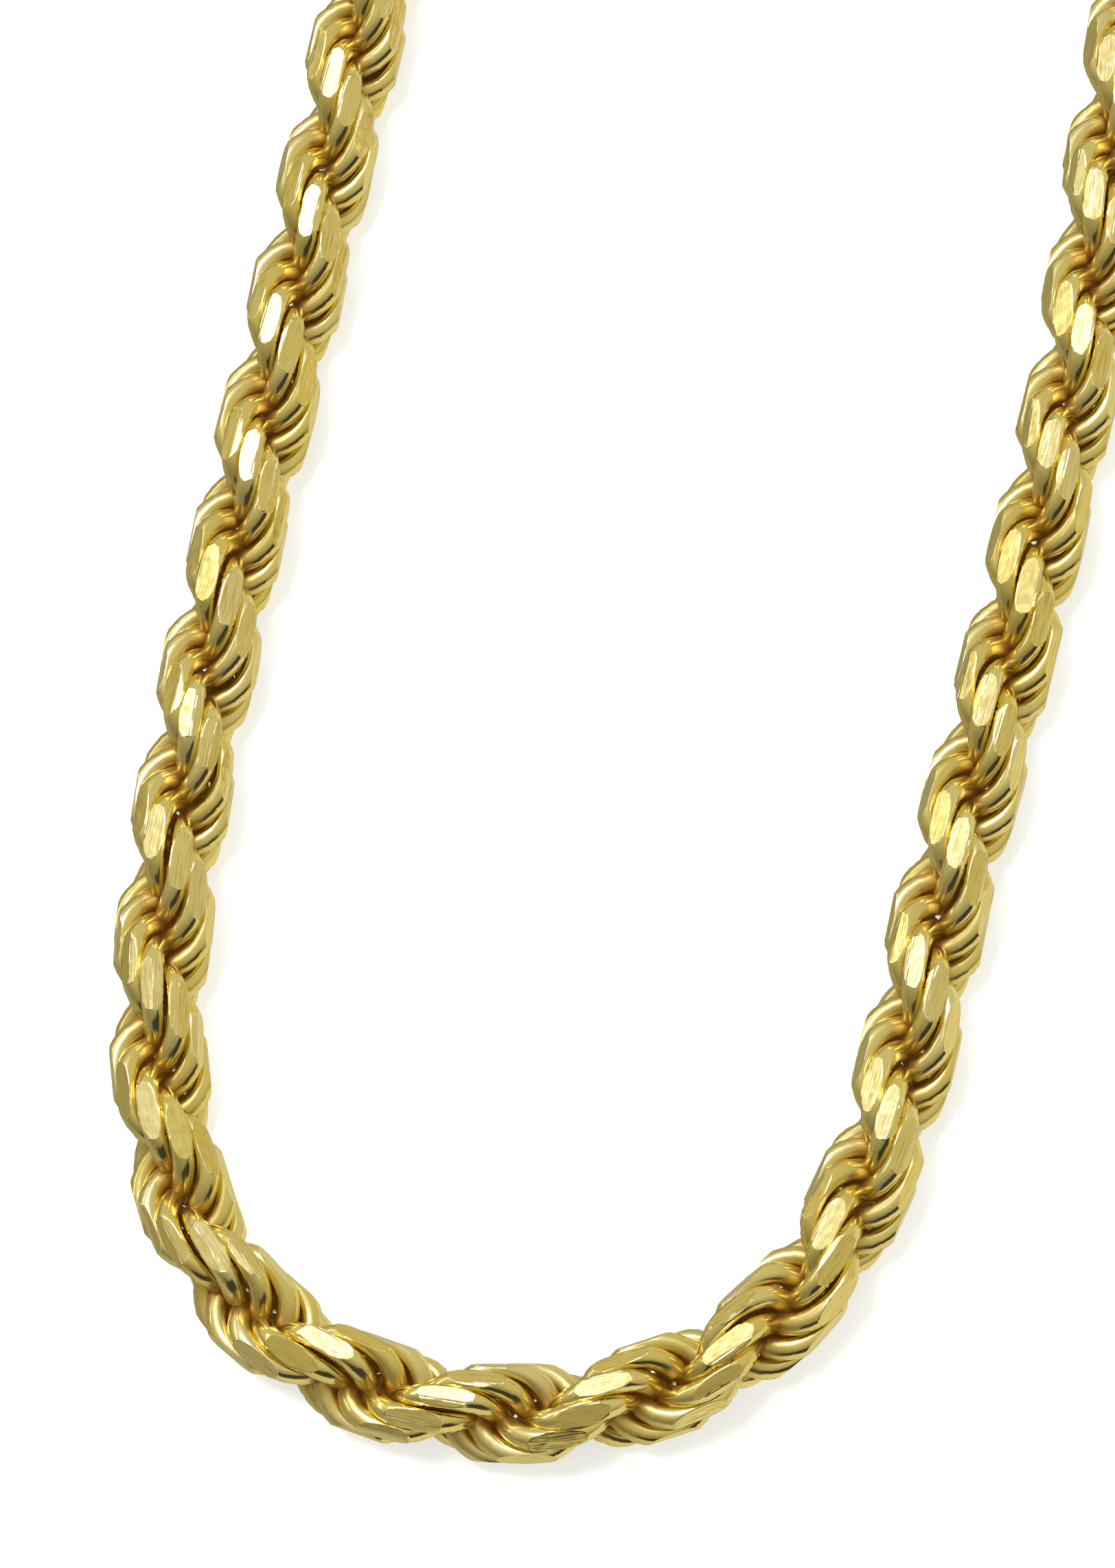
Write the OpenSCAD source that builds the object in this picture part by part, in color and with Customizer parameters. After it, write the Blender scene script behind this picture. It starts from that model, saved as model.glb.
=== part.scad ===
// Rope chain necklace, fastened and laid flat in one long loop.
// Millimetres. +Z is up, z = 0 is the surface it lies on, and the origin is the middle of the loop.
// The bend of the loop lies at -Y and the clasp at +Y, between two near-parallel arms.

/* [Rope] */
// Thickness of the rope, measured across two opposite rows of cut facets
rope_d = 6; // [4:0.5:7]
// Rows of cut facets round the rope, each one a flat side
rope_sides = 12; // [8:2:12]

/* [End caps] */
// Clearance between the rope and the cup that grips it
cap_fit = 0.1; // [0.05:0.05:0.2]
// Wall of the cup
cap_wall = 0.5; // [0.4:0.1:0.8]
// Length of rope inside the cup
cap_grip = 5; // [3:0.5:8]
// Thickness of the cup's floor
cap_floor = 1.4; // [1:0.1:2]
// Radius of the rounded edge round the floor
cap_round = 1; // [0.5:0.1:1.3]
// Wire of the eye soldered to the floor
eye_wire = 1.1; // [0.8:0.1:1.3]
// Inner diameter of that eye
eye_bore = 2.4; // [2:0.1:3]

/* [Rings] */
// Wire of the two jump rings
ring_wire = 1.1; // [0.8:0.1:1.3]
// Inner diameter of the two jump rings
ring_bore = 4; // [3.8:0.1:4.6]

/* [Clasp] */
// Thickness of the clasp's bow where the ring hangs in it
bow_wire = 1.8; // [1.5:0.1:2]
// Thickness of the bow at its heel, beside the tail eye
heel_wire = 2.4; // [1.8:0.1:3]
// Length of the bow, between the middles of the metal at its two ends
bow_len = 11; // [10:0.5:14]
// Fullness of the bow at its wide end, between the middles of the metal
bow_wide = 7.4; // [7:0.2:9]
// Fullness of the bow at its narrow end
bow_narrow = 3.4; // [3:0.2:4]
// Wire of the clasp's tail eye
tail_wire = 1; // [0.8:0.1:1.2]
// Inner diameter of the clasp's tail eye
tail_bore = 2.2; // [2:0.1:2.8]

/* [Closure] */
// Free play between two linked wires
play = 0.2; // [0.1:0.05:0.3]
// Angle from the clasp to each end cap, seen from above
cap_turn = 40; // [30:1:50]

/* [Hidden] */
$fn = 48;

gold = [0.93, 0.76, 0.36];
pale_gold = [0.95, 0.81, 0.45];

// The rope's middle line, from the left cap round the bend to the right cap, as [x, y].
// The curve runs close beside these points. The ends that follow the caps are added below.
left_arm = [
    [-22.6, 113], [-24.8, 108], [-25.3, 100], [-24.8, 82], [-24.5, 58], [-24.7, 34],
    [-25.1, 10], [-25.3, -13], [-25.3, -33], [-24.9, -50], [-24.7, -66], [-24.4, -82],
    [-23.6, -97], [-21.6, -109.5], [-16.9, -119.6], [-9.4, -125.4]];
bend = [0.3, -127.4];
right_arm = [
    [9.8, -125.4], [17.2, -120.5], [22.1, -113], [23.8, -102], [23.6, -91], [24.4, -79],
    [24.9, -65], [25.2, -51], [24.1, -37], [24, -18], [24.2, 4], [24.5, 28],
    [24.7, 54], [24.8, 79], [25.3, 100], [24.8, 108], [22.6, 113]];
// How far the clasp lies from the middle of the loop
closure_y = 125.6;
// Rings of the swept rope in each stretch between two points
rings_per_point = 2;
// Stretches at each end over which the rope rises to the height of its cap
lift_points = 3;
// How far the rope runs on straight outside each cup
cap_lead = 3;
// How far the cup's bore is cut past its mouth
cut_past = 1;
// Rings and sides of the bow and the tail eye
bow_steps = 36;
tail_steps = 20;
wire_sides = 12;

// Rope and caps
rope_r = rope_d / 2;
corner_r = rope_r / cos(180 / rope_sides);
cup_r = corner_r + cap_fit;
cap_r = cup_r + cap_wall;
eye_mid = (eye_bore + eye_wire) / 2;
// From the end of the rope to the middle of the eye, with the eye's wire sunk half way into the floor
eye_reach = cap_fit + cap_floor + eye_mid;

// Rings and clasp. A linked wire lies at most "room" from the middle of the ring that holds it.
ring_mid = (ring_bore + ring_wire) / 2;
tail_mid = (tail_bore + tail_wire) / 2;
function room(wire) = (ring_bore - wire) / 2 - play;
ring_z = max(ring_mid + ring_wire / 2, cap_r - 0.6 * room(eye_wire));
clasp_z = ring_z - room(bow_wire);
eye_side = sqrt(pow(room(eye_wire), 2) - pow(cap_r - ring_z, 2));
tail_side = sqrt(pow(room(tail_wire), 2) - pow(clasp_z - ring_z, 2));
// From the middle of the bow to the middle of the tail eye, whose wire is sunk half way into the heel
tail_reach = bow_len / 2 + heel_wire / 2 + tail_mid;

// Closure seen from above, each place counted from the middle of the bow
function heading(a) = [cos(a), sin(a)];
ring_turn = cap_turn / 2;
jump_at = [-tail_reach, 0] - (tail_side + tail_mid) * heading(ring_turn);
left_eye_at = jump_at - (eye_side + eye_mid) * heading(ring_turn);
clasp_ring_at = [bow_len / 2, 0];
right_eye_at = clasp_ring_at + (eye_side + eye_mid) * heading(-ring_turn);
clasp_at = [-(left_eye_at.x + right_eye_at.x) / 2, closure_y];
left_end = clasp_at + left_eye_at - eye_reach * heading(cap_turn);
right_end = clasp_at + right_eye_at + eye_reach * heading(-cap_turn);

// The whole route, straight inside each cup and for a little way outside it
route = concat(
    [for (d = [0, cap_grip, cap_grip + cap_lead]) left_end - d * heading(cap_turn)],
    left_arm, [bend], right_arm,
    [for (d = [cap_grip + cap_lead, cap_grip, 0]) right_end + d * heading(-cap_turn)]);
last = len(route) - 1;
bend_at = len(left_arm) + 3;

// A point before the first or after the last carries the end stretch straight on
function route_point(i) =
    i < 0 ? 2 * route[0] - route[1] :
    i > last ? 2 * route[last] - route[last - 1] :
    route[i];

// Uniform cubic B-spline beside the route's points, u in points from the left end
function beside(a, b, c, d, t) =
    (pow(1 - t, 3) * a + (3 * t * t * t - 6 * t * t + 4) * b
        + (-3 * t * t * t + 3 * t * t + 3 * t + 1) * c + t * t * t * d) / 6;
function route_xy(u) =
    let (i = min(floor(u), last - 1))
    beside(route_point(i - 1), route_point(i), route_point(i + 1), route_point(i + 2), u - i);

// The rope rises in a smooth step from the surface to its cap
function ease(t) = t * t * (3 - 2 * t);
function route_z(u) =
    let (from_end = min(u, last - u) - 1)
    rope_r + (cap_r - rope_r) * ease(max(0, min(1, 1 - from_end / lift_points)));
function route_at(u) = let (p = route_xy(u)) [p.x, p.y, route_z(u)];
function unit(v) = v / norm(v);
function route_along(u) = unit(route_at(min(u + 0.02, last)) - route_at(max(u - 0.02, 0)));

// One ring of points round a place on a path, square to the path, with a flat side underneath
function ring_of_points(centre, along, r, n) =
    let (side = unit(cross(along, [0, 0, 1])), up = cross(side, along))
    [for (k = [0 : n - 1]) let (a = (k + 0.5) * 360 / n) centre + r * (sin(a) * side + cos(a) * up)];

// One closed skin through a row of rings with n points each, with flat ends or closed into a loop
module skin(rings, n, looped = false) {
    count = len(rings);
    sides = [for (i = [0 : count - (looped ? 1 : 2)], k = [0 : n - 1])
        let (here = i * n, next = (i + 1) % count * n, m = (k + 1) % n)
        each [[here + k, next + k, next + m], [here + k, next + m, here + m]]];
    ends = looped ? [] : [[for (k = [0 : n - 1]) k], [for (k = [n - 1 : -1 : 0]) (count - 1) * n + k]];
    polyhedron([for (r = rings) each r], concat(sides, ends), convexity = 10);
}

// A stretch of the rope between two places on the route
module rope(from, to) {
    steps = (to - from) * rings_per_point;
    rings = [for (i = [0 : steps])
        let (u = from + i / rings_per_point)
        ring_of_points(route_at(u), route_along(u), corner_r, rope_sides)];
    color(gold) skin(rings, rope_sides);
}

module rope_left() {
    rope(0, bend_at);
}

module rope_right() {
    rope(bend_at, last);
}

// Half outline of the cap's outside, from its mouth along +X to its floor
module cap_outline(length) {
    square([cap_r - cap_round, length]);
    square([cap_r, length - cap_round]);
    translate([cap_r - cap_round, length - cap_round]) circle(cap_round);
}

// A cup over the rope's end with an eye soldered to its floor. The rope's end is at x = 0.
module end_cap() {
    length = cap_grip + cap_fit + cap_floor;
    color(pale_gold) {
        difference() {
            translate([-cap_grip, 0, 0]) rotate([0, 90, 0]) rotate_extrude() cap_outline(length);
            translate([-cap_grip - cut_past, 0, 0]) rotate([0, 90, 0])
                cylinder(r = cup_r, h = cap_grip + cap_fit + cut_past);
        }
        translate([eye_reach, 0, 0]) eye(eye_mid, eye_wire);
    }
}

// A round eye lying flat
module eye(mid, wire) {
    rotate_extrude() translate([mid, 0]) circle(d = wire, $fn = 32);
}

module end_cap_left() {
    translate([left_end.x, left_end.y, cap_r]) rotate([0, 0, cap_turn]) end_cap();
}

module end_cap_right() {
    translate([right_end.x, right_end.y, cap_r]) rotate([0, 0, 180 - cap_turn]) end_cap();
}

// A ring standing on edge, its plane turned to the given heading
module standing_ring(at, turn) {
    color(pale_gold)
        translate([clasp_at.x + at.x, clasp_at.y + at.y, ring_z])
            rotate([0, 0, turn]) rotate([90, 0, 0]) eye(ring_mid, ring_wire);
}

module jump_ring() {
    standing_ring(jump_at, ring_turn);
}

module clasp_ring() {
    standing_ring(clasp_ring_at, -ring_turn);
}

// The bow's middle line is an egg: an ellipse whose width changes smoothly from its wide to its narrow end
function egg_at(a) =
    let (wide = (1 + cos(a)) / 2)
    [cos(a) * bow_len / 2, sin(a) * (bow_wide * wide + bow_narrow * (1 - wide)) / 2, 0];
function egg_wire(a) = bow_wire + (heel_wire - bow_wire) * (1 - cos(a)) / 2;

// The clasp is one closed bow with a tail eye soldered to its heel
module clasp() {
    bow_rings = [for (i = [0 : bow_steps - 1])
        let (a = i * 360 / bow_steps)
        ring_of_points(egg_at(a), unit(egg_at(a + 1) - egg_at(a - 1)), egg_wire(a) / 2, wire_sides)];
    eye_rings = [for (i = [0 : tail_steps - 1])
        let (a = i * 360 / tail_steps)
        ring_of_points(tail_mid * [cos(a), sin(a), 0], [-sin(a), cos(a), 0], tail_wire / 2, wire_sides)];
    color(pale_gold) translate([clasp_at.x, clasp_at.y, clasp_z]) {
        skin(bow_rings, wire_sides, looped = true);
        translate([-tail_reach, 0, 0]) skin(eye_rings, wire_sides, looped = true);
    }
}

rope_left();
rope_right();
end_cap_left();
end_cap_right();
jump_ring();
clasp_ring();
clasp();
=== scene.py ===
import bpy
import numpy as np
from mathutils import Matrix, Vector


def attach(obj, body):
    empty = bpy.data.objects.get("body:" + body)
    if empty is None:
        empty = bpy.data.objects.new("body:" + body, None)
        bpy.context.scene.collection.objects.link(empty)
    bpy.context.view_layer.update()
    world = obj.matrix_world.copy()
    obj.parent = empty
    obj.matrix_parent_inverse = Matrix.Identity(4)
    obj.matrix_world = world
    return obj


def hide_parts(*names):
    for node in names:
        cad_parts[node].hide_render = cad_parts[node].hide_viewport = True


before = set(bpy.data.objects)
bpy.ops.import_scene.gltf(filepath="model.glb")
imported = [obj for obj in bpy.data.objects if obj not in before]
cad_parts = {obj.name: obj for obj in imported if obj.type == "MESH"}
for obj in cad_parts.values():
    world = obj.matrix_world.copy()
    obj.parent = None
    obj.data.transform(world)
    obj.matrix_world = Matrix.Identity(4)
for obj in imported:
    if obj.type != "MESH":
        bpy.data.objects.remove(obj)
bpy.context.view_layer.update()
print("frame loaded:", ", ".join(sorted(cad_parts)))

mm = 0.001
rad = np.pi / 180


# Helpers

def linearColour(hexCode):
    # sRGB to linear: c / 12.92 up to 0.04045, ((c + 0.055) / 1.055) ** 2.4 above
    c = np.array([int(hexCode[i:i + 2], 16) for i in (1, 3, 5)]) / 255
    c = np.where(c <= 0.04045, c / 12.92, ((c + 0.055) / 1.055) ** 2.4)
    return (*c.tolist(), 1.0)


def addNode(tree, kind, inputs=None, **settings):
    # one shader node with its settings; an input is a constant, or another node's output to link to it
    node = tree.nodes.new("ShaderNode" + kind)
    for key, value in settings.items():
        setattr(node, key, value)
    for key, value in (inputs or {}).items():
        if isinstance(value, bpy.types.NodeSocket):
            tree.links.new(value, node.inputs[key])
        else:
            node.inputs[key].default_value = value
    return node


def unit(v):
    return v / np.linalg.norm(v, axis=-1, keepdims=True)


def dot(a, b):
    return np.sum(a * b, -1)


def smoothStep(t):
    t = np.clip(t, 0, 1)
    return t * t * (3 - 2 * t)


def wrapped(angle):
    return np.arctan2(np.sin(angle), np.cos(angle))


# Camera: the photograph's own angle, above the bend and a little to its right

camera = dict(
    place=(40.24, -189.32, 325.33),
    forward=(-0.12134, 0.30033, -0.94609),
    right=(0.97397, 0.21984, -0.05513),
    lens=126.1,
    sensor=36,           # along the picture's long side
    clip=(10, 20000),
)


def makeCamera():
    data = bpy.data.cameras.new("camera")
    data.lens, data.sensor_width = camera["lens"], camera["sensor"]
    data.clip_start, data.clip_end = (distance * mm for distance in camera["clip"])
    eye = bpy.data.objects.new("camera", data)
    back = -unit(np.array(camera["forward"]))
    right = unit(np.array(camera["right"]))
    turn = Matrix(np.column_stack([right, np.cross(back, right), back]).tolist()).to_4x4()
    eye.matrix_world = Matrix.Translation(Vector(camera["place"]) * mm) @ turn
    bpy.context.scene.collection.objects.link(eye)
    bpy.context.scene.camera = eye


makeCamera()
print("camera placed")


# The rope's route, as in the part's source

route = dict(
    ropeRadius=3.0,      # height of the rope's middle line over the table
    capRadius=3.7058,    # the same in the end caps, which are thicker than the rope
    leftEnd=(-13.2540, 121.6704),
    rightEnd=(13.2540, 122.5385),
    capTurn=40,          # from the X axis to the left cap, and as much the other way to the right one
    capGrip=5,           # how deep the rope is in a cap
    capLead=3,           # how far it runs straight before the cap
    liftPoints=3,        # points of the route over which it rises to the cap
    leftArm=[
        (-22.6, 113), (-24.8, 108), (-25.3, 100), (-24.8, 82), (-24.5, 58), (-24.7, 34),
        (-25.1, 10), (-25.3, -13), (-25.3, -33), (-24.9, -50), (-24.7, -66), (-24.4, -82),
        (-23.6, -97), (-21.6, -109.5), (-16.9, -119.6), (-9.4, -125.4)],
    bend=[(0.3, -127.4)],
    rightArm=[
        (9.8, -125.4), (17.2, -120.5), (22.1, -113), (23.8, -102), (23.6, -91), (24.4, -79),
        (24.9, -65), (25.2, -51), (24.1, -37), (24, -18), (24.2, 4), (24.5, 28),
        (24.7, 54), (24.8, 79), (25.3, 100), (24.8, 108), (22.6, 113)],
    samples=40,          # on each stretch between two points
    reach=0.4,           # to each side of a place on the line, to find its direction
)


def routeCurve():
    # uniform cubic B-spline through the stretches, with the end points carried on as 2 P0 - P1:
    # P(t) = ((1-t)^3 A + (3t^3-6t^2+4) B + (-3t^3+3t^2+3t+1) C + t^3 D) / 6,
    # and a smooth rise in z at each end.
    # Gives the middle line, the length run to each of its points, and the length at the bend.
    samples = route["samples"]
    heading = np.array([np.cos(route["capTurn"] * rad), np.sin(route["capTurn"] * rad)])
    back = [0, route["capGrip"], route["capGrip"] + route["capLead"]]
    first = [np.array(route["leftEnd"]) - d * heading for d in back]
    final = [np.array(route["rightEnd"]) + d * heading * (1, -1) for d in back[::-1]]
    p = np.array([*first, *route["leftArm"], *route["bend"], *route["rightArm"], *final], float)
    last = len(p) - 1
    p = np.vstack([2 * p[0] - p[1], p, 2 * p[-1] - p[-2]])
    u = np.linspace(0, last, last * samples + 1)
    i = np.minimum(u.astype(int), last - 1)
    t = (u - i)[:, None]
    xy = ((1 - t) ** 3 * p[i] + (3 * t ** 3 - 6 * t ** 2 + 4) * p[i + 1]
          + (-3 * t ** 3 + 3 * t ** 2 + 3 * t + 1) * p[i + 2] + t ** 3 * p[i + 3]) / 6
    rise = smoothStep(1 - (np.minimum(u, last - u) - 1) / route["liftPoints"])
    z = route["ropeRadius"] + (route["capRadius"] - route["ropeRadius"]) * rise
    line = np.column_stack([xy, z])
    run = np.concatenate([[0], np.cumsum(np.linalg.norm(np.diff(line, axis=0), axis=1))])
    return line, run, run[(len(first) + len(route["leftArm"])) * samples]


middleLine, lengthRun, bendLength = routeCurve()


def routeFrames(s):
    # place and axes (along, up, side) of the middle line at lengths s: side = along x Z, up = side x along
    at, ahead, behind = (np.column_stack([np.interp(s + d, lengthRun, middleLine[:, k]) for k in range(3)])
                         for d in (0, route["reach"], -route["reach"]))
    along = unit(ahead - behind)
    side = unit(np.cross(along, [0, 0, 1]))
    return at, np.stack([along, np.cross(side, along), side], 1)


# The rope: a row of open oval rings, each turned a step further round the rope's middle line

rope = dict(
    wire=1.44,                # thickness of the gold wire
    reach=2.71,               # from the rope's middle line out to the middle of the wire
    halfLength=3.05,          # the same along the rope
    squareness=1.9,           # 2 is an ellipse, more flattens the sides that lie along the rope
    halfTurn=8.728,           # length of rope in which it turns half round
    ringStep=1.5844,          # from one ring to the next along the rope
    lean=0.05,                # share of the rope's twist that each ring's own sides follow
    gap=20,                   # half the opening of a ring, in degrees of its curve
    cutRadius=2.97,           # from the middle line to the cut facets
    cutSides=12,              # rows of facets round the rope
    facetReach=75,            # furthest that a facet can run from the middle of a ring's side, in degrees
    tipFan=42,                # half the angle over which a facet's corners fan out past its tip
    # degrees from the top of the rope to one row of facets, at lengths after the notch below
    cutTurns=((-70, -4), (51, 11), (115, 23), (226, 34), (300, 43)),
    notch=(-25.3, -35.7),     # a place on the left arm where the two strands cross on top
    ringFromNotch=46.05,      # from there to the middle of a ring that opens downwards along the rope
    endRoom=3.7,              # from the rope's end to the middle of its first ring, at least
    cutSpread=0.10,           # how much deeper than cutRadius some facets are
    placeSpread=0.05,         # how far a ring slides along the rope
    turnSpread=3.0,           # degrees that a ring turns about the rope once it is cut
    tipSpread=2.5,            # degrees that it tips
    leastMilling=0.35,        # share of the tool's lines that the cleanest facet has
    patternShift=40,          # how far a ring's surface pattern is moved, so that no two are alike
    innerRadius=(0.6, 2.55),  # from the middle line: where the grooves' brown, partly painted shade, is full, and where it ends
    seed=7,
)

# How each ring is sectioned: along a facet, from the wire's end to a facet, over the back, round a wire end
facetSteps = np.array([-1, -0.9, -0.68, -0.36, 0, 0.36, 0.68, 0.9, 1])
leadSteps = np.array([0, 0.35, 0.65, 0.87])
backSteps = np.array([0.06, 0.17, 0.33, 0.5, 0.67, 0.83, 0.94])
endSteps = np.array([90, 60, 30]) * rad
arcSteps = 10            # steps of the wire's own arc in a section
fanSections = 3          # sections past a facet's tip over which its corners fan out
halvings = 24            # rounds of the search for a facet's tip
weldGrid = 1e5           # corners are one vertex where they agree to 1 / weldGrid mm

notchLength = lengthRun[np.argmin(np.linalg.norm(middleLine[:, :2] - rope["notch"], axis=1))]


def phaseAt(s):
    # the rope is twisted to the left: its rings turn back as the length runs on
    return -np.pi * (s - notchLength) / rope["halfTurn"]


def ringAt(u, theta, facing):
    # an oval ring round the rope's axis, in (along, up, side), u = 0 at its opening:
    # z = facing halfLength |cos u|^(2/n), x = reach |sin u|^(2/n), at the angle a = theta + k z:
    # centre = (z, x cos a, x sin a)
    # Gives the centre, the outward and sideways directions of the wire's round section,
    # and the way along the wire.
    n, reach, length = rope["squareness"], rope["reach"], rope["halfLength"]
    s, c = np.sin(u), np.cos(u)
    x = reach * np.sign(s) * np.abs(s) ** (2 / n)
    z = facing * length * np.sign(c) * np.abs(c) ** (2 / n)
    nx = np.sign(x) * np.abs(x / reach) ** (n - 1) / reach
    nz = np.sign(z) * np.abs(z / length) ** (n - 1) / length
    size = np.hypot(nx, nz)
    nx, nz = nx / size, nz / size
    twist = -rope["lean"] * np.pi / rope["halfTurn"]
    a = theta + twist * z
    ca, sa = np.cos(a), np.sin(a)
    centre = np.stack([z, x * ca, x * sa], -1)
    dz, dx = -facing * nx, facing * nz
    way = unit(np.stack([dz, dx * ca - x * twist * dz * sa, dx * sa + x * twist * dz * ca], -1))
    out = np.stack([nz, nx * ca, nx * sa], -1)
    out = unit(out - dot(out, way)[..., None] * way)
    return centre, out, np.cross(way, out), way


def cutAt(centre, out, across, phi, depth):
    # where the facet plane at angle phi round the rope meets the wire's round section:
    # rho cos(beta - b) = h, b the plane's direction in the section, h its distance from the wire's middle
    normal = np.stack([np.zeros_like(phi), np.cos(phi), np.sin(phi)], -1)
    a, b = dot(normal, out), dot(normal, across)
    return np.arctan2(b, a), (depth - dot(normal, centre)) / np.maximum(np.hypot(a, b), 1e-6)


def facetEnds(theta, facing, depth, planes, lobe, direction):
    # how far a facet runs along its ring from the middle of a lobe, found by halving
    near = np.zeros((2, len(theta)))
    far = near + rope["facetReach"] * rad
    for _ in range(halvings):
        half = (near + far) / 2
        section = ringAt(lobe + direction * half, theta, facing)
        inside = cutAt(*section[:3], planes, depth)[1] < rope["wire"] / 2
        near, far = np.where(inside, half, near), np.where(inside, far, half)
    return near.max(0)


def ringSections(theta, facing, depth, lows, step):
    # the places u along every ring where it is sectioned, and which sections are the facets' four tips
    facetRows = []
    for low, lobe in zip(lows, np.array([90, 270]) * rad):
        planes = np.stack([low, low + step])
        before, after = (facetEnds(theta, facing, depth, planes, lobe, way)[:, None] for way in (-1, 1))
        facetRows.append(lobe + np.where(facetSteps < 0, before, after) * facetSteps)
    first, second = facetRows
    gap = np.full((len(theta), 1), rope["gap"] * rad)
    end = 2 * np.pi - gap
    u = np.concatenate([
        np.repeat(gap, len(endSteps), 1),
        gap + (first[:, :1] - gap) * leadSteps,
        first,
        first[:, -1:] + (second[:, :1] - first[:, -1:]) * backSteps,
        second,
        end - (end - second[:, -1:]) * leadSteps[::-1],
        np.repeat(end, len(endSteps), 1)], 1)
    starts = len(endSteps) + len(leadSteps) + np.array([0, len(facetSteps) + len(backSteps)])
    return u, np.stack([starts, starts + len(facetSteps) - 1], 1).ravel()


def sectionCorners(b1, h1, b2, h2, tips):
    # the corners round every section, as the angle beta and the distance rho from the wire's middle.
    # Corner 0 to 1 is the first facet, 2 to 3 the second, and the rest is the wire's own arc.
    radius = rope["wire"] / 2
    k = np.arange(b1.shape[1])
    inside = ((k > tips[0]) & (k < tips[1])) | ((k > tips[2]) & (k < tips[3]))
    g1, g2 = (np.arccos(np.clip(h / radius, -1, 1)) for h in (h1, h2))
    cut1 = inside & (h1 < radius) & ~((h2 < radius) & (b2 - g2 <= b1 - g1))
    cut2 = inside & (h2 < radius) & ~((h1 < radius) & (b1 + g1 >= b2 + g2))
    # the ridge where the two planes meet: h1 / cos(beta - b1) = h2 / cos(beta - b2)
    middle = (b1 + b2) / 2
    ridge = np.arctan2(h1 * np.cos(b2) - h2 * np.cos(b1), h2 * np.sin(b1) - h1 * np.sin(b2))
    ridge = middle + np.arctan(np.tan(ridge - middle))
    both = cut1 & cut2
    joined = both & (b2 - g2 < b1 + g1)
    # past a facet's tip its corners fan out over the wire
    away = np.abs(k[:, None] - tips)
    spread = smoothStep(away.min(1) / fanSections)
    tipAngle = np.where(h1 < h2, b1, b2)[:, tips[away.argmin(1)]]
    fanMiddle = wrapped(tipAngle) * (1 - spread)
    fan = rope["tipFan"] * rad * spread
    c0 = np.where(cut1, b1 - g1, np.where(cut2, b2 - g2, fanMiddle - fan))
    c3 = np.where(cut2, b2 + g2, np.where(cut1, b1 + g1, fanMiddle + fan))
    one = cut1 | cut2
    only = np.where(cut1, b1 + g1, b2 - g2)
    c1 = np.where(both, b1 + g1, np.where(one, only, fanMiddle - fan / 3))
    c2 = np.where(both, b2 - g2, np.where(one, only, fanMiddle + fan / 3))
    c1, c2 = (np.where(joined, ridge, c) for c in (c1, c2))
    arc = c3[..., None] + (c0 + 2 * np.pi - c3)[..., None] * np.arange(1, arcSteps) / arcSteps
    beta = np.concatenate([np.stack([c0, c1, c2, c3], -1), arc], -1)
    rho = np.full_like(beta, radius)
    rho[..., 1:3] = np.where(joined, h1 / np.maximum(np.cos(ridge - b1), 0.05), radius)[..., None]
    return beta, rho, np.stack([cut1, cut2], -1)


def linkGrid(theta, facing, depth, cutTurn):
    # all rings at once: sections along each ring, corners round each section.
    # point = centre + rho (cos beta out + sin beta across)
    step = 2 * np.pi / rope["cutSides"]
    lows = [np.floor((theta + turn - cutTurn) / step) * step + cutTurn for turn in (0, np.pi)]
    u, tips = ringSections(theta, facing, depth, lows, step)
    k = np.arange(u.shape[1])
    centre, out, across, way = ringAt(u, theta[:, None], facing[:, None])
    firstLobe = k <= tips[1] + len(backSteps) // 2
    lowPlane = np.where(firstLobe, lows[0][:, None], lows[1][:, None])
    low, high = ((plane, *cutAt(centre, out, across, plane, depth[:, None]))
                 for plane in (lowPlane, lowPlane + step))
    # the first facet is the one at the smaller angle of the section
    swap = np.sin(high[1] - low[1]) < 0
    plane1, b1, h1 = (np.where(swap, b, a) for a, b in zip(low, high))
    plane2, b2, h2 = (np.where(swap, a, b) for a, b in zip(low, high))
    b2 = b1 + wrapped(b2 - b1)
    beta, rho, cuts = sectionCorners(b1, h1, b2, h2, tips)
    # rounded wire ends: the section shrinks and moves out along the wire, as on a ball
    shrink, push = np.ones(len(k)), np.zeros(len(k))
    n = len(endSteps)
    shrink[:n], shrink[-n:] = np.cos(endSteps), np.cos(endSteps[::-1])
    push[:n], push[-n:] = -np.sin(endSteps), np.sin(endSteps[::-1])
    radial = np.cos(beta)[..., None] * out[:, :, None] + np.sin(beta)[..., None] * across[:, :, None]
    bulge = (way * push[:, None])[:, :, None]
    points = centre[:, :, None] + radial * (rho * shrink[:, None])[..., None] + bulge * rope["wire"] / 2
    normals = unit(radial * shrink[:, None, None] + bulge)
    return points, normals, beta, u, cuts, np.stack([plane1, plane2], -1)


def settled(vectors, turns):
    # a small turn about the vector w: v + w x v + w x (w x v) / 2
    w = turns[:, None, None, :] + 0 * vectors
    step = np.cross(w, vectors)
    return vectors + step + np.cross(w, step) / 2


def facetFaces(points, cuts, planes):
    # which faces are facets and the angle of their planes round the rope; and for each face's corners
    # where they lie between the facet's two edges, -1 to 1, and half the facet's width
    n, rows, corners = points.shape[:3]
    isFacet = np.zeros((n, rows - 1, corners), bool)
    angle = np.zeros(isFacet.shape)
    edge = np.zeros((*isFacet.shape, 4, 3))
    for k, j in enumerate((0, 2)):
        isFacet[..., j] = cuts[:, :-1, k] | cuts[:, 1:, k]
        angle[..., j] = np.where(cuts[:, :-1, k], planes[:, :-1, k], planes[:, 1:, k])
        halfWidth = np.linalg.norm(points[:, :, j + 1] - points[:, :, j], axis=-1) / 2
        here, onward = halfWidth[:, :-1], halfWidth[:, 1:]
        edge[:, :, j, :, 0] = (-1, 1, 1, -1)
        edge[:, :, j, :, 1] = np.stack([here, here, onward, onward], -1)
    return isFacet, angle, edge


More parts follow.
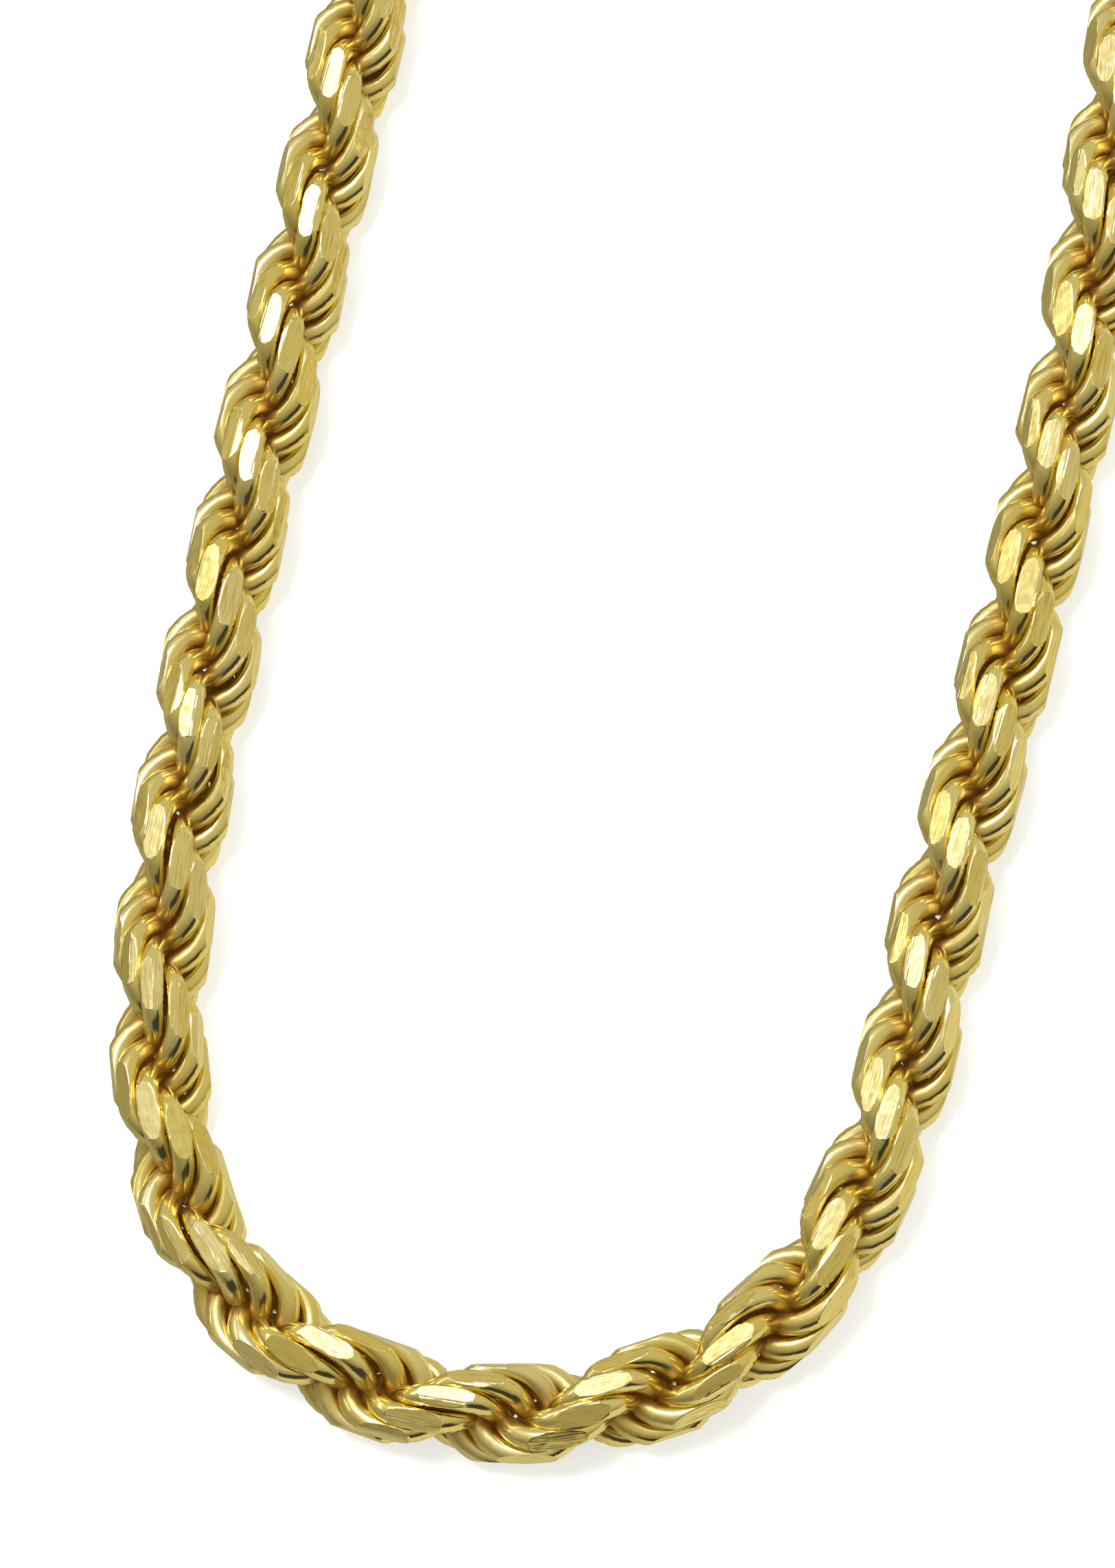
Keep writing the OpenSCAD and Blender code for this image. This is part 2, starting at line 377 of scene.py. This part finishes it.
def weldedFaces(corner, pick):
    # corners that fall together are one vertex, and faces that shrink to a line or a point are left out.
    # Gives the vertices, the faces that stay, their sizes, and the vertex and old place of each corner.
    flatCorner = corner.reshape(-1, 3)
    _, first, same = np.unique(np.round(flatCorner * weldGrid).astype(np.int64), axis=0,
                               return_index=True, return_inverse=True)
    index = same.reshape(corner.shape[:3])[pick].reshape(-1, 4)
    doubled = index == np.roll(index, -1, 1)
    folded = (index[:, 0] == index[:, 2]) | (index[:, 1] == index[:, 3])
    quads = np.nonzero((doubled.sum(1) == 0) & ~folded)[0]
    tris = np.nonzero((doubled.sum(1) == 1) & ~folded)[0]
    keep = np.array([[1, 2, 3], [0, 1, 3], [0, 1, 2], [0, 1, 2]])[doubled[tris].argmax(1)]
    places = [(quads[:, None] * 4 + np.arange(4)).ravel(), (tris[:, None] * 4 + keep).ravel()]
    places = np.concatenate(places)
    sizes = np.concatenate([np.full(len(quads), 4), np.full(len(tris), 3)])
    return flatCorner[first], np.concatenate([quads, tris]), sizes, index.ravel()[places], places


def newMesh(name, vertices, loops, sizes):
    # faces of these sizes, whose corners are the vertices that loops lists one after the other; in metres
    mesh = bpy.data.meshes.new(name)
    mesh.vertices.add(len(vertices))
    mesh.vertices.foreach_set("co", (vertices * mm).astype(np.float32).ravel())
    mesh.loops.add(len(loops))
    mesh.loops.foreach_set("vertex_index", loops.astype(np.int32))
    mesh.polygons.add(len(sizes))
    starts = np.concatenate([[0], np.cumsum(sizes)[:-1]])
    mesh.polygons.foreach_set("loop_start", starts.astype(np.int32))
    mesh.polygons.foreach_set("loop_total", sizes.astype(np.int32))
    mesh.polygons.foreach_set("use_smooth", np.ones(len(sizes), bool))
    return mesh


def linkMesh(name, s, numbers):
    # the rings at lengths s, as one mesh with flat facets and round wire
    n = len(s)
    count = int(numbers.max()) + 1
    # each ring's random numbers: slide, depth of cut, three turns, two shifts of the pattern, one spare
    noise = np.random.default_rng(rope["seed"]).uniform(-1, 1, (count, 8))[numbers]
    at, axes = routeFrames(s + noise[:, 0] * rope["placeSpread"])
    depth = rope["cutRadius"] - (0.5 + 0.5 * noise[:, 1]) * rope["cutSpread"]
    turns = noise[:, 2:5] * np.array([rope["turnSpread"], rope["tipSpread"], rope["tipSpread"]]) * rad
    facing = np.where(numbers % 2 == 0, 1.0, -1.0)
    cutTurn = np.interp(s - notchLength, *np.array(rope["cutTurns"], float).T) * rad
    points, normals, beta, u, cuts, planes = linkGrid(phaseAt(s), facing, depth, cutTurn)
    rows, corners = points.shape[1:3]
    world = at[:, None, None] + np.einsum("nrci,nij->nrcj", settled(points, turns), axes)

    # the corners (i, j), (i, j + 1), (i + 1, j + 1), (i + 1, j) of every face, i along the ring, j round it
    r, c = np.meshgrid(np.arange(rows - 1), np.arange(corners), indexing="ij")
    rr = np.stack([r, r, r + 1, r + 1], -1)
    cc = np.stack([c, (c + 1) % corners, (c + 1) % corners, c], -1)
    pick = (slice(None), rr, cc)
    isFacet, angle, edge = facetFaces(points, cuts, planes)
    zero = np.zeros_like(angle)
    flat = np.stack([zero, np.cos(angle), np.sin(angle)], -1)[..., None, :]
    flatSide = np.stack([zero, -np.sin(angle), np.cos(angle)], -1)[..., None, :]
    onFacet = isFacet[..., None, None]
    cornerNormal = settled(np.where(onFacet, flat, normals[pick]).reshape(n, -1, 4, 3), turns)
    cornerNormal = np.einsum("nfki,nij->nfkj", cornerNormal, axes)
    # 1 on the parts of a ring that lie deep in the rope, 0 on its outside
    full, none = rope["innerRadius"]
    inner = smoothStep((none - np.hypot(points[..., 1], points[..., 2])) / (none - full))
    # pattern coordinates in mm: along and across a facet, or along the wire and round it
    wireAlong = u[:, rr] * (rope["reach"] + rope["halfLength"]) / 2
    wireRound = beta[pick]
    wireRound[..., -1, 1:3] += 2 * np.pi
    wireUv = np.stack([wireAlong, wireRound * rope["wire"] / 2], -1)
    facetUv = np.stack([points[pick][..., 0], dot(points[pick], flatSide)], -1)
    shift = noise[:, 5:7] * rope["patternShift"]
    uv = np.where(onFacet, facetUv, wireUv) + shift[:, None, None, None]
    # three random numbers for each facet and for each ring's wire: frosting, milling, tone
    finishes = np.random.default_rng(rope["seed"] + 1).random((count, 5, 3))
    finishes[..., 1] = rope["leastMilling"] + (1 - rope["leastMilling"]) * finishes[..., 1]
    kind = np.where(isFacet, (r > rows // 2) * 2 + (c == 2), 4).reshape(-1)
    finish = finishes[np.repeat(numbers, (rows - 1) * corners), kind]

    vertices, faces, sizes, loops, places = weldedFaces(world, pick)
    mesh = newMesh(name, vertices, loops, sizes)
    pattern = uv.reshape(-1, 2)[places].astype(np.float32)
    mesh.uv_layers.new(name="pattern").data.foreach_set("uv", pattern.ravel())
    for key, domain, values in (("facet", "FACE", isFacet.reshape(-1)[faces]),
                                ("finish", "FACE", finish[faces]),
                                ("edge", "CORNER", edge.reshape(-1, 3)[places]),
                                ("inner", "CORNER", inner[pick].reshape(-1)[places])):
        vector = values.ndim == 2
        layer = mesh.attributes.new(key, "FLOAT_VECTOR" if vector else "FLOAT", domain)
        layer.data.foreach_set("vector" if vector else "value", values.astype(np.float32).ravel())
    mesh.update(calc_edges=True)
    mesh.validate()
    mesh.normals_split_custom_set(cornerNormal.reshape(-1, 3)[places].tolist())
    piece = bpy.data.objects.new(name, mesh)
    bpy.context.scene.collection.objects.link(piece)
    print(f"{name}: {n} rings, {int(sizes.sum() - 2 * len(sizes))} triangles")
    return piece


def makeRope():
    step, room, total = rope["ringStep"], rope["endRoom"], lengthRun[-1]
    anchor = notchLength + rope["ringFromNotch"]
    before, after = int((anchor - room) / step), int((total - room - anchor) / step)
    numbers = np.arange(before + after + 1)
    s = anchor + (numbers - before) * step
    numbers += before % 2     # so that the ring at the anchor faces the same way whatever the step is
    pieces = []
    for name, node, mine in (("rope_links_left", "rope_left", s < bendLength),
                             ("rope_links_right", "rope_right", s >= bendLength)):
        piece = linkMesh(name, s[mine], numbers[mine])
        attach(piece, "root")
        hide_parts(node)
        pieces.append(piece)
    return pieces


ropePieces = makeRope()


# Materials

def newMaterial(name):
    material = bpy.data.materials.new(name)
    material.use_nodes = True
    material.node_tree.nodes.clear()
    return material, material.node_tree


gold = dict(
    colour="#F5E6A8",             # straight reflection of white light
    deepColour="#F0DB86",         # the redder tone that some rings have
    edgeHighlightColour="#FFFAE0",         # painted highlight on a facet's rolled edge, which gathers the light
    lineColour="#D8BA6E",         # between the tool's lines
    grooveResidueAndShadeColour="#C2A05B",       # browner colour deep between the rings: partly polish residue that stays there, partly painted shade
    grooveRoughness=0.46,
    grooveGlow=("#8A6420", 0.10),  # light that comes back after many reflections between the rings
    wireRoughness=0.10,
    cutRoughness=(0.14, 0.32),    # from a clean cut to a frosted one
    frostPatches=1.3,             # to the millimetre
    frostRange=(0.38, 0.62),      # of the patches' noise, from bare to frosted
    frostGrain=0.24,              # mm; real frost is finer, drawn coarser so that it shows
    frostHeight=0.004,            # mm
    cutWaves=1.1,                 # to the millimetre
    cutWaveHeight=0.035,          # mm, how far a cut is from a true plane
    millSpacing=0.12,             # mm between the tool's lines; real ones are closer, drawn coarser to show
    millLength=2.0,               # mm over which a line fades
    millHeight=0.008,             # mm
    millRange=(0.48, 0.66),       # of the lines' noise, from colour to lineColour
    millDepth=0.85,               # the most that lineColour covers
    wireWaves=0.7,                # to the millimetre
    wireWaveHeight=0.035,         # mm, how uneven the drawn and bent wire is
    edgeWidth=0.12,               # mm; a real edge is finer, drawn wider to show
    edgeDrop=0.065,               # mm, how far a facet's edge is rolled over
    edgeStretches=0.5,            # rolled stretches of an edge, to the millimetre
    edgeRange=(0.34, 0.56),       # of their noise, from sharp to rolled
)


def diamondCutGold():
    # Yellow gold wire, drawn, bent and soldered, then cut with a diamond tool: the wire is a soft mirror
    # that is a little uneven, the cuts are flat and bright with the tool's lines or a frost,
    # and their edges shine, helped by a painted highlight on them.
    material, tree = newMaterial("diamond_cut_gold")
    facet = addNode(tree, "Attribute", attribute_name="facet").outputs["Fac"]
    inner = addNode(tree, "Attribute", attribute_name="inner").outputs["Fac"]
    finish = addNode(tree, "Attribute", attribute_name="finish").outputs["Vector"]
    frost, milling, tone = addNode(tree, "SeparateXYZ", {0: finish}).outputs
    edge = addNode(tree, "Attribute", attribute_name="edge").outputs["Vector"]
    across, halfWidth, _ = addNode(tree, "SeparateXYZ", {0: edge}).outputs
    pattern = addNode(tree, "UVMap", uv_map="pattern").outputs[0]

    # rim is 1 on a facet's edge where it is rolled, and 0 from edgeWidth inwards
    off = addNode(tree, "Math", {0: across}, operation="ABSOLUTE").outputs[0]
    off = addNode(tree, "Math", {0: 1.0, 1: off}, operation="SUBTRACT").outputs[0]
    off = addNode(tree, "Math", {0: off, 1: halfWidth}, operation="MULTIPLY").outputs[0]
    rim = addNode(tree, "MapRange", {"Value": off, "From Min": gold["edgeWidth"], "From Max": 0.0})
    rim = addNode(tree, "Math", {0: rim.outputs[0], 1: facet}, operation="MULTIPLY").outputs[0]
    rolled = addNode(tree, "TexNoise", {"Vector": pattern, "Scale": gold["edgeStretches"], "Detail": 1.0})
    rolled = addNode(tree, "MapRange", {"Value": rolled.outputs["Fac"], "From Min": gold["edgeRange"][0],
                                        "From Max": gold["edgeRange"][1]}, interpolation_type="SMOOTHSTEP")
    rim = addNode(tree, "Math", {0: rim, 1: rolled.outputs[0]}, operation="MULTIPLY").outputs[0]
    rim = addNode(tree, "Math", {0: rim, 1: rim}, operation="MULTIPLY").outputs[0]

    # frost comes in patches on a facet
    patchy = addNode(tree, "TexNoise", {"Vector": pattern, "Scale": gold["frostPatches"], "Detail": 2.0})
    patchy = addNode(tree, "MapRange", {"Value": patchy.outputs["Fac"], "From Min": gold["frostRange"][0],
                                        "From Max": gold["frostRange"][1]}, interpolation_type="SMOOTHSTEP")
    frost = addNode(tree, "Math", {0: frost, 1: patchy.outputs[0]}, operation="MULTIPLY").outputs[0]
    cutRough = addNode(tree, "MapRange", {"Value": frost, "To Min": gold["cutRoughness"][0],
                                          "To Max": gold["cutRoughness"][1]}).outputs[0]
    rough = addNode(tree, "Mix", {0: facet, 2: gold["wireRoughness"], 3: cutRough}).outputs[0]
    rough = addNode(tree, "Mix", {0: inner, 2: rough, 3: gold["grooveRoughness"]}).outputs[0]

    # the tool's lines run along a facet: one noise, drawn out, for their colour and their height
    drawnOut = addNode(tree, "Mapping", {"Vector": pattern,
                                         "Scale": (1 / gold["millLength"], 1 / gold["millSpacing"], 1)})
    lines = addNode(tree, "TexNoise", {"Vector": drawnOut.outputs[0], "Scale": 1.0, "Detail": 1.0})
    lines = lines.outputs["Fac"]
    stripes = addNode(tree, "MapRange", {"Value": lines, "From Min": gold["millRange"][0],
                                         "From Max": gold["millRange"][1], "To Max": gold["millDepth"]},
                      interpolation_type="SMOOTHSTEP").outputs[0]
    stripes = addNode(tree, "Math", {0: stripes, 1: milling}, operation="MULTIPLY").outputs[0]
    stripes = addNode(tree, "Math", {0: stripes, 1: facet}, operation="MULTIPLY").outputs[0]

    # heights in mm: frost grain, milled lines and waves on a cut, waves on the wire, the rolled edge
    grain = addNode(tree, "TexNoise", {"Vector": pattern, "Scale": 1 / gold["frostGrain"], "Detail": 2.0,
                                       "Roughness": 0.5, "Distortion": 0.8}).outputs["Fac"]
    grain = addNode(tree, "Math", {0: grain, 1: frost}, operation="MULTIPLY").outputs[0]
    lines = addNode(tree, "Math", {0: lines, 1: milling}, operation="MULTIPLY").outputs[0]
    cut = addNode(tree, "Math", {0: lines, 1: gold["millHeight"]}, operation="MULTIPLY").outputs[0]
    cut = addNode(tree, "Math", {0: grain, 1: gold["frostHeight"], 2: cut},
                  operation="MULTIPLY_ADD").outputs[0]
    wobble = addNode(tree, "TexNoise", {"Vector": pattern, "Scale": gold["cutWaves"], "Detail": 1.0})
    cut = addNode(tree, "Math", {0: wobble.outputs["Fac"], 1: gold["cutWaveHeight"], 2: cut},
                  operation="MULTIPLY_ADD").outputs[0]
    waves = addNode(tree, "TexNoise", {"Vector": pattern, "Scale": gold["wireWaves"], "Detail": 1.0})
    waves = addNode(tree, "Math", {0: waves.outputs["Fac"], 1: gold["wireWaveHeight"]},
                    operation="MULTIPLY").outputs[0]
    height = addNode(tree, "Mix", {0: facet, 2: waves, 3: cut}).outputs[0]
    height = addNode(tree, "Math", {0: rim, 1: -gold["edgeDrop"], 2: height},
                     operation="MULTIPLY_ADD").outputs[0]
    bump = addNode(tree, "Bump", {"Height": height, "Strength": 1.0, "Distance": mm}).outputs[0]

    # colour: the ring's tone, then the tool's lines, the painted highlight on the rolled edge, and over it
    # the groove's browner colour, partly polish residue and partly painted shade
    colour = linearColour(gold["colour"])
    for amount, layer in ((tone, "deepColour"), (stripes, "lineColour"), (rim, "edgeHighlightColour"),
                          (inner, "grooveResidueAndShadeColour")):
        colour = addNode(tree, "Mix", {0: amount, 6: colour, 7: linearColour(gold[layer])},
                         data_type="RGBA").outputs[2]
    glowColour, glowStrength = gold["grooveGlow"]
    glow = addNode(tree, "Math", {0: inner, 1: glowStrength}, operation="MULTIPLY").outputs[0]
    shader = addNode(tree, "BsdfPrincipled", {"Base Color": colour, "Metallic": 1.0, "Roughness": rough,
                                              "Normal": bump, "Emission Color": linearColour(glowColour),
                                              "Emission Strength": glow})
    addNode(tree, "OutputMaterial", {"Surface": shader.outputs["BSDF"]})
    return material


fittings = dict(
    waves=0.6,                # to the millimetre
    waveHeight=0.04,          # mm
    waveStrength=0.5,
    wear=2.5,                 # patches of fine wear, to the millimetre
    wearRange=(0.3, 0.7),     # of their noise, from bright to worn
    roughness=(0.08, 0.20),   # bright, and worn
)


def polishedGold():
    # Yellow gold, cast and polished by hand: a soft mirror with faint waves and duller patches from wear
    material, tree = newMaterial("polished_gold")
    place = addNode(tree, "TexCoord").outputs["Object"]
    waves = addNode(tree, "TexNoise", {"Vector": place, "Scale": fittings["waves"] / mm, "Detail": 1.0})
    wear = addNode(tree, "TexNoise", {"Vector": place, "Scale": fittings["wear"] / mm, "Detail": 3.0})
    (bright, worn), (low, high) = fittings["wearRange"], fittings["roughness"]
    rough = addNode(tree, "MapRange", {"Value": wear.outputs["Fac"], "From Min": bright, "From Max": worn,
                                       "To Min": low, "To Max": high})
    bump = addNode(tree, "Bump", {"Height": waves.outputs["Fac"], "Strength": fittings["waveStrength"],
                                  "Distance": fittings["waveHeight"] * mm})
    shader = addNode(tree, "BsdfPrincipled", {"Base Color": linearColour(gold["colour"]), "Metallic": 1.0,
                                              "Roughness": rough.outputs[0], "Normal": bump.outputs[0]})
    addNode(tree, "OutputMaterial", {"Surface": shader.outputs["BSDF"]})
    return material


ropeGold, fittingGold = diamondCutGold(), polishedGold()
for piece in ropePieces:
    piece.data.materials.append(ropeGold)
for name in ("end_cap_left", "end_cap_right", "jump_ring", "clasp_ring", "clasp"):
    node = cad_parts[name]
    node.data.materials.clear()
    node.data.materials.append(fittingGold)
print("materials made")


# Studio: a white table lit from above and below, in a tent of dull warm light that darkens to the front.
# The gold sees the soft box in its lit cloth, a strip, a dark opening at the front, and a dimmer table.

studio = dict(
    floorSize=2500,                   # half its side
    floorColour="#F8F8F6",
    floorGlow=("#EBF1FD", 0.60),      # light that comes through the table from below
    brightSide=(-0.12, 0.86, 0.49),   # direction in which the tent is brightest
    tentRange=(-0.5, 0.5),            # cosine with brightSide at which it is dark, and bright
    tentStrengths=(0.27, 0.63),
    roomTint=(1.02, 0.96, 0.66),      # the tent's and the table's dull light is warmer than the lamps
    tableMirror=(0.38, 0.78),         # how bright the table is in the gold: towards the left, and the right
    tableRange=(-0.8, 0.6),           # the share of X in a direction to the left, and to the right
    horizon=0.03,                     # half the height of the soft line between tent and table
    # name, azimuth, elevation, half width and half height as tangents, soft edge, brightness
    panels=[
        ("lit cloth round the soft box", 130, 56, 0.50, 0.46, 0.24, 1.0),
        ("strip", 160, 23, 0.40, 0.06, 0.03, 2.1),
        ("dark opening at the front", -56, 20, 0.72, 0.26, 0.05, 0.05),
    ],
    # name, azimuth, elevation, distance and size in m, brightness, seen in the gold
    lamps=[
        ("soft box", 130, 56, 0.9, (0.46, 0.42), 2.9, True),
        ("table light", 178, 72, 0.9, (0.24, 0.24), 19.0, False),
    ],
    aim=(0, -60, 0),                  # where the lamps point
)


def direction(azimuth, elevation):
    flat = np.cos(elevation * rad)
    return np.array([flat * np.cos(azimuth * rad), flat * np.sin(azimuth * rad), np.sin(elevation * rad)])


def makeFloor():
    # White paper on a table lit from below: matt and even, with a glow that is a little cooler than the lamps
    h = studio["floorSize"] * mm
    mesh = bpy.data.meshes.new("floor")
    mesh.from_pydata([(-h, -h, 0), (h, -h, 0), (h, h, 0), (-h, h, 0)], [], [(0, 1, 2, 3)])
    floor = bpy.data.objects.new("floor", mesh)
    bpy.context.scene.collection.objects.link(floor)
    material, tree = newMaterial("white_paper")
    glowColour, glowStrength = studio["floorGlow"]
    shader = addNode(tree, "BsdfPrincipled", {"Base Color": linearColour(studio["floorColour"]),
                                              "Roughness": 0.9, "Specular IOR Level": 0.1,
                                              "Emission Color": linearColour(glowColour),
                                              "Emission Strength": glowStrength})
    addNode(tree, "OutputMaterial", {"Surface": shader.outputs["BSDF"]})
    mesh.materials.append(material)
    floor.visible_glossy = False


def warm(strengths):
    # the room's dull light at these strengths
    return [(*(strength * c for c in studio["roomTint"]), 1) for strength in strengths]


def makeTent():
    world = bpy.data.worlds.new("tent")
    world.use_nodes = True
    tree = world.node_tree
    tree.nodes.clear()
    ray = addNode(tree, "TexCoord").outputs["Generated"]
    bright = unit(np.array(studio["brightSide"])).tolist()
    cosine = addNode(tree, "VectorMath", {0: ray, 1: bright}, operation="DOT_PRODUCT").outputs["Value"]
    share = addNode(tree, "MapRange", {"Value": cosine, "From Min": studio["tentRange"][0],
                                       "From Max": studio["tentRange"][1]}, interpolation_type="SMOOTHSTEP")
    dark, pale = warm(studio["tentStrengths"])
    light = addNode(tree, "Mix", {0: share.outputs[0], 6: dark, 7: pale}, data_type="RGBA").outputs[2]
    for name, azimuth, elevation, halfWidth, halfHeight, edge, strength in studio["panels"]:
        # a rectangle seen along its own direction: |right / ahead| and |up / ahead| below its half sizes
        ahead = direction(azimuth, elevation)
        right = unit(np.cross(ahead, [0, 0, 1]))
        axes = (right, np.cross(right, ahead), ahead)
        *sideways, forward = [addNode(tree, "VectorMath", {0: ray, 1: axis.tolist()},
                                      operation="DOT_PRODUCT").outputs["Value"] for axis in axes]
        mask = addNode(tree, "Math", {0: forward, 1: 0.05}, operation="GREATER_THAN").outputs[0]
        for part, half in zip(sideways, (halfWidth, halfHeight)):
            tangent = addNode(tree, "Math", {0: part, 1: forward}, operation="DIVIDE").outputs[0]
            tangent = addNode(tree, "Math", {0: tangent}, operation="ABSOLUTE").outputs[0]
            inside = addNode(tree, "MapRange", {"Value": tangent, "From Min": half + edge,
                                                "From Max": half - edge}, interpolation_type="SMOOTHSTEP")
            mask = addNode(tree, "Math", {0: mask, 1: inside.outputs[0]}, operation="MULTIPLY").outputs[0]
        light = addNode(tree, "Mix", {0: mask, 6: light, 7: (strength, strength, strength, 1)},
                        data_type="RGBA").outputs[2]
    x, _, z = addNode(tree, "SeparateXYZ", {0: ray}).outputs
    aside = addNode(tree, "MapRange", {"Value": x, "From Min": studio["tableRange"][0],
                                       "From Max": studio["tableRange"][1]}, interpolation_type="SMOOTHSTEP")
    leftLight, rightLight = warm(studio["tableMirror"])
    table = addNode(tree, "Mix", {0: aside.outputs[0], 6: leftLight, 7: rightLight},
                    data_type="RGBA").outputs[2]
    below = addNode(tree, "MapRange", {"Value": z, "From Min": studio["horizon"],
                                       "From Max": -studio["horizon"]}, interpolation_type="SMOOTHSTEP")
    light = addNode(tree, "Mix", {0: below.outputs[0], 6: light, 7: table}, data_type="RGBA").outputs[2]
    background = addNode(tree, "Background", {"Color": light, "Strength": 1.0})
    addNode(tree, "OutputWorld", {"Surface": background.outputs[0]})
    bpy.context.scene.world = world


def makeLamps():
    aim = Vector(studio["aim"]) * mm
    for name, azimuth, elevation, distance, size, brightness, inGold in studio["lamps"]:
        data = bpy.data.lights.new(name, "AREA")
        data.shape, data.size, data.size_y = "RECTANGLE", *size
        data.energy = brightness * np.pi * size[0] * size[1]
        lamp = bpy.data.objects.new(name, data)
        towards = Vector(direction(azimuth, elevation))
        lamp.location = aim + towards * distance
        lamp.rotation_euler = towards.to_track_quat("Z", "Y").to_euler()
        lamp.visible_camera = False
        lamp.visible_glossy = inGold
        bpy.context.scene.collection.objects.link(lamp)


makeFloor()
makeTent()
makeLamps()
bpy.context.scene.view_settings.view_transform = "Standard"
print("studio lit")
